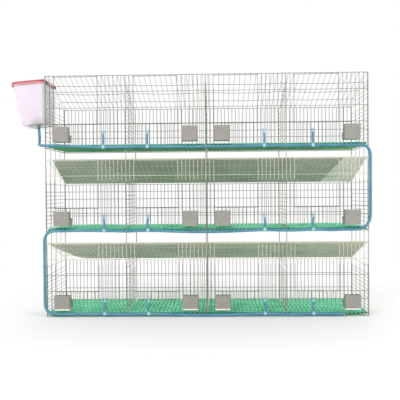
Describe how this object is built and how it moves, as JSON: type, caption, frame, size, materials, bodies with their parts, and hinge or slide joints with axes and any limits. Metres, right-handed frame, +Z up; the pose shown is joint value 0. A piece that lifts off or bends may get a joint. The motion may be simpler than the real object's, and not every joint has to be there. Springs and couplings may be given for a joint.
{
  "type": "commercial rabbit cage",
  "caption": "Tiered welded-wire rabbit cage with slat floors, sloping manure boards, hook-on feeders and a tank-fed hose of nipple drinkers.",
  "frame": {"origin": "on the ground under the middle of the wire cage, in the plane of the post feet", "axes": "+Z up, the front with the doors and feeders faces -Y, +X to the right seen from the front"},
  "size_m": [2.2646, 0.5536, 1.512],
  "materials": {
    "galvanised_wire": "galvanised",
    "galvanised_sheet": "spangled",
    "green_plastic": "moulded",
    "grey_board": "smooth sheet",
    "tank_plastic": "translucent",
    "red_plastic": "moulded",
    "grey_plastic": "moulded",
    "blue_hose": "smooth",
    "pale_plastic": "moulded",
    "nipple_steel": "turned"
  },
  "bodies": {
    "cage": {"front_panel_bottom": "galvanised_wire", "front_panel_middle": "galvanised_wire", "front_panel_top": "galvanised_wire", "back_panel_bottom": "galvanised_wire", "back_panel_middle": "galvanised_wire", "back_panel_top": "galvanised_wire", "roof_mesh_bottom": "galvanised_wire", "roof_mesh_middle": "galvanised_wire", "roof_mesh_top": "galvanised_wire", "feeders_bottom": "galvanised_sheet", "feeders_middle": "galvanised_sheet", "feeders_top": "galvanised_sheet", "floor_mats_bottom": "green_plastic", "floor_mats_middle": "green_plastic", "floor_mats_top": "green_plastic", "side_panel_left": "galvanised_wire", "side_panel_right": "galvanised_wire", "divider_left": "galvanised_wire", "divider_middle": "galvanised_wire", "divider_right": "galvanised_wire", "floor_rods": "galvanised_wire", "wire_rings": "galvanised_wire", "tank_bracket": "galvanised_wire", "manure_board_bottom": "grey_board", "manure_board_middle": "grey_board", "water_tank": "tank_plastic", "tank_outlet": "grey_plastic", "outlet_nut": "grey_plastic", "supply_hose": "blue_hose", "branch_hoses": "blue_hose", "hose_tees": "pale_plastic", "drinker_holders": "pale_plastic", "hose_ties": "pale_plastic", "hose_plug": "pale_plastic", "nipple_bodies": "nipple_steel"},
    "door_bottom_1": {"door_bottom_1": "galvanised_wire"},
    "door_bottom_2": {"door_bottom_2": "galvanised_wire"},
    "door_bottom_3": {"door_bottom_3": "galvanised_wire"},
    "door_bottom_4": {"door_bottom_4": "galvanised_wire"},
    "door_middle_1": {"door_middle_1": "galvanised_wire"},
    "door_middle_2": {"door_middle_2": "galvanised_wire"},
    "door_middle_3": {"door_middle_3": "galvanised_wire"},
    "door_middle_4": {"door_middle_4": "galvanised_wire"},
    "door_top_1": {"door_top_1": "galvanised_wire"},
    "door_top_2": {"door_top_2": "galvanised_wire"},
    "door_top_3": {"door_top_3": "galvanised_wire"},
    "door_top_4": {"door_top_4": "galvanised_wire"},
    "nipple_pin_bottom_1": {"nipple_pin_bottom_1": "nipple_steel"},
    "nipple_pin_bottom_2": {"nipple_pin_bottom_2": "nipple_steel"},
    "nipple_pin_bottom_3": {"nipple_pin_bottom_3": "nipple_steel"},
    "nipple_pin_bottom_4": {"nipple_pin_bottom_4": "nipple_steel"},
    "nipple_pin_middle_1": {"nipple_pin_middle_1": "nipple_steel"},
    "nipple_pin_middle_2": {"nipple_pin_middle_2": "nipple_steel"},
    "nipple_pin_middle_3": {"nipple_pin_middle_3": "nipple_steel"},
    "nipple_pin_middle_4": {"nipple_pin_middle_4": "nipple_steel"},
    "nipple_pin_top_1": {"nipple_pin_top_1": "nipple_steel"},
    "nipple_pin_top_2": {"nipple_pin_top_2": "nipple_steel"},
    "nipple_pin_top_3": {"nipple_pin_top_3": "nipple_steel"},
    "nipple_pin_top_4": {"nipple_pin_top_4": "nipple_steel"},
    "tank_lid": {"tank_lid": "red_plastic"}
  },
  "joints": [
    {"name": "door_hinge_bottom_1", "type": "hinge", "parent": "cage", "child": "door_bottom_1", "pos_m": [-0.8125, -0.2408, 0.453], "axis": [1, 0, 0], "range_deg": [0, 70]},
    {"name": "door_hinge_bottom_2", "type": "hinge", "parent": "cage", "child": "door_bottom_2", "pos_m": [-0.3125, -0.2408, 0.453], "axis": [1, 0, 0], "range_deg": [0, 70]},
    {"name": "door_hinge_bottom_3", "type": "hinge", "parent": "cage", "child": "door_bottom_3", "pos_m": [0.1875, -0.2408, 0.453], "axis": [1, 0, 0], "range_deg": [0, 70]},
    {"name": "door_hinge_bottom_4", "type": "hinge", "parent": "cage", "child": "door_bottom_4", "pos_m": [0.6875, -0.2408, 0.453], "axis": [1, 0, 0], "range_deg": [0, 70]},
    {"name": "door_hinge_middle_1", "type": "hinge", "parent": "cage", "child": "door_middle_1", "pos_m": [-0.8125, -0.2408, 0.978], "axis": [1, 0, 0], "range_deg": [0, 70]},
    {"name": "door_hinge_middle_2", "type": "hinge", "parent": "cage", "child": "door_middle_2", "pos_m": [-0.3125, -0.2408, 0.978], "axis": [1, 0, 0], "range_deg": [0, 70]},
    {"name": "door_hinge_middle_3", "type": "hinge", "parent": "cage", "child": "door_middle_3", "pos_m": [0.1875, -0.2408, 0.978], "axis": [1, 0, 0], "range_deg": [0, 70]},
    {"name": "door_hinge_middle_4", "type": "hinge", "parent": "cage", "child": "door_middle_4", "pos_m": [0.6875, -0.2408, 0.978], "axis": [1, 0, 0], "range_deg": [0, 70]},
    {"name": "door_hinge_top_1", "type": "hinge", "parent": "cage", "child": "door_top_1", "pos_m": [-0.8125, -0.2408, 1.503], "axis": [1, 0, 0], "range_deg": [0, 70]},
    {"name": "door_hinge_top_2", "type": "hinge", "parent": "cage", "child": "door_top_2", "pos_m": [-0.3125, -0.2408, 1.503], "axis": [1, 0, 0], "range_deg": [0, 70]},
    {"name": "door_hinge_top_3", "type": "hinge", "parent": "cage", "child": "door_top_3", "pos_m": [0.1875, -0.2408, 1.503], "axis": [1, 0, 0], "range_deg": [0, 70]},
    {"name": "door_hinge_top_4", "type": "hinge", "parent": "cage", "child": "door_top_4", "pos_m": [0.6875, -0.2408, 1.503], "axis": [1, 0, 0], "range_deg": [0, 70]},
    {"name": "nipple_push_bottom_1", "type": "slide", "parent": "cage", "child": "nipple_pin_bottom_1", "axis": [0, -1, 0], "range_m": [0, 0.0015], "stiffness_N_per_m": 200},
    {"name": "nipple_push_bottom_2", "type": "slide", "parent": "cage", "child": "nipple_pin_bottom_2", "axis": [0, -1, 0], "range_m": [0, 0.0015], "stiffness_N_per_m": 200},
    {"name": "nipple_push_bottom_3", "type": "slide", "parent": "cage", "child": "nipple_pin_bottom_3", "axis": [0, -1, 0], "range_m": [0, 0.0015], "stiffness_N_per_m": 200},
    {"name": "nipple_push_bottom_4", "type": "slide", "parent": "cage", "child": "nipple_pin_bottom_4", "axis": [0, -1, 0], "range_m": [0, 0.0015], "stiffness_N_per_m": 200},
    {"name": "nipple_push_middle_1", "type": "slide", "parent": "cage", "child": "nipple_pin_middle_1", "axis": [0, -1, 0], "range_m": [0, 0.0015], "stiffness_N_per_m": 200},
    {"name": "nipple_push_middle_2", "type": "slide", "parent": "cage", "child": "nipple_pin_middle_2", "axis": [0, -1, 0], "range_m": [0, 0.0015], "stiffness_N_per_m": 200},
    {"name": "nipple_push_middle_3", "type": "slide", "parent": "cage", "child": "nipple_pin_middle_3", "axis": [0, -1, 0], "range_m": [0, 0.0015], "stiffness_N_per_m": 200},
    {"name": "nipple_push_middle_4", "type": "slide", "parent": "cage", "child": "nipple_pin_middle_4", "axis": [0, -1, 0], "range_m": [0, 0.0015], "stiffness_N_per_m": 200},
    {"name": "nipple_push_top_1", "type": "slide", "parent": "cage", "child": "nipple_pin_top_1", "axis": [0, -1, 0], "range_m": [0, 0.0015], "stiffness_N_per_m": 200},
    {"name": "nipple_push_top_2", "type": "slide", "parent": "cage", "child": "nipple_pin_top_2", "axis": [0, -1, 0], "range_m": [0, 0.0015], "stiffness_N_per_m": 200},
    {"name": "nipple_push_top_3", "type": "slide", "parent": "cage", "child": "nipple_pin_top_3", "axis": [0, -1, 0], "range_m": [0, 0.0015], "stiffness_N_per_m": 200},
    {"name": "nipple_push_top_4", "type": "slide", "parent": "cage", "child": "nipple_pin_top_4", "axis": [0, -1, 0], "range_m": [0, 0.0015], "stiffness_N_per_m": 200},
    {"name": "lid_lift", "type": "slide", "parent": "cage", "child": "tank_lid", "axis": [-0.0837, 0, 0.9965], "range_m": [0, 0.06]}
  ]
}
